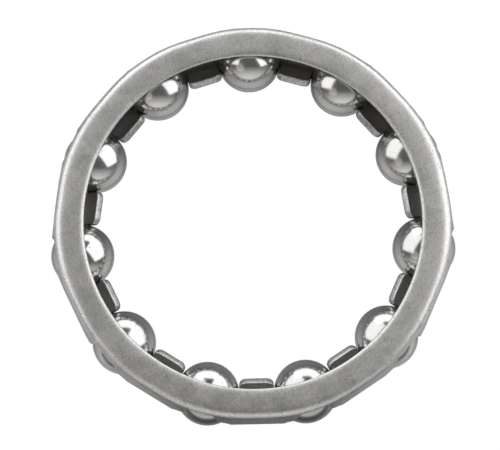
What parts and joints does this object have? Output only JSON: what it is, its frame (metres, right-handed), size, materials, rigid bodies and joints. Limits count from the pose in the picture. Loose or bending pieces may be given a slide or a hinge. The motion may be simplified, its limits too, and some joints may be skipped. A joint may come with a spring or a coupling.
{
  "type": "caged ball set",
  "caption": "Caged ball set of a ball bearing: loose steel balls spaced round a pressed-steel cage, whose flat ring has fingers that curl round between the balls.",
  "frame": {"origin": "on the ring's axis, in the plane that the balls rest on when the set lies with its flat ring up", "axes": "+Z along the ring's axis, from the balls towards the flat ring; +Y through the centre of ball_01; the balls are numbered anticlockwise seen from +Z"},
  "size_m": [0.0406, 0.0404, 0.0078],
  "materials": {
    "cage_steel": "satin, barrel-tumbled",
    "ball_steel": "mirror-polished"
  },
  "bodies": {
    "cage": {"cage": "cage_steel"},
    "ball_01": {"ball_01": "ball_steel"},
    "ball_02": {"ball_02": "ball_steel"},
    "ball_03": {"ball_03": "ball_steel"},
    "ball_04": {"ball_04": "ball_steel"},
    "ball_05": {"ball_05": "ball_steel"},
    "ball_06": {"ball_06": "ball_steel"},
    "ball_07": {"ball_07": "ball_steel"},
    "ball_08": {"ball_08": "ball_steel"},
    "ball_09": {"ball_09": "ball_steel"},
    "ball_10": {"ball_10": "ball_steel"},
    "ball_11": {"ball_11": "ball_steel"}
  },
  "joints": [
    {"name": "ball_01_roll", "type": "hinge", "parent": "cage", "child": "ball_01", "pos_m": [0, 0.01735, 0.00317], "axis": [0, 0, 1], "continuous": true},
    {"name": "ball_02_roll", "type": "hinge", "parent": "cage", "child": "ball_02", "pos_m": [-0.00938, 0.0146, 0.00317], "axis": [0, 0, 1], "continuous": true},
    {"name": "ball_03_roll", "type": "hinge", "parent": "cage", "child": "ball_03", "pos_m": [-0.01578, 0.00721, 0.00317], "axis": [0, 0, 1], "continuous": true},
    {"name": "ball_04_roll", "type": "hinge", "parent": "cage", "child": "ball_04", "pos_m": [-0.01717, -0.00247, 0.00317], "axis": [0, 0, 1], "continuous": true},
    {"name": "ball_05_roll", "type": "hinge", "parent": "cage", "child": "ball_05", "pos_m": [-0.01311, -0.01136, 0.00317], "axis": [0, 0, 1], "continuous": true},
    {"name": "ball_06_roll", "type": "hinge", "parent": "cage", "child": "ball_06", "pos_m": [-0.00489, -0.01665, 0.00317], "axis": [0, 0, 1], "continuous": true},
    {"name": "ball_07_roll", "type": "hinge", "parent": "cage", "child": "ball_07", "pos_m": [0.00489, -0.01665, 0.00317], "axis": [0, 0, 1], "continuous": true},
    {"name": "ball_08_roll", "type": "hinge", "parent": "cage", "child": "ball_08", "pos_m": [0.01311, -0.01136, 0.00317], "axis": [0, 0, 1], "continuous": true},
    {"name": "ball_09_roll", "type": "hinge", "parent": "cage", "child": "ball_09", "pos_m": [0.01717, -0.00247, 0.00317], "axis": [0, 0, 1], "continuous": true},
    {"name": "ball_10_roll", "type": "hinge", "parent": "cage", "child": "ball_10", "pos_m": [0.01578, 0.00721, 0.00317], "axis": [0, 0, 1], "continuous": true},
    {"name": "ball_11_roll", "type": "hinge", "parent": "cage", "child": "ball_11", "pos_m": [0.00938, 0.0146, 0.00317], "axis": [0, 0, 1], "continuous": true}
  ]
}
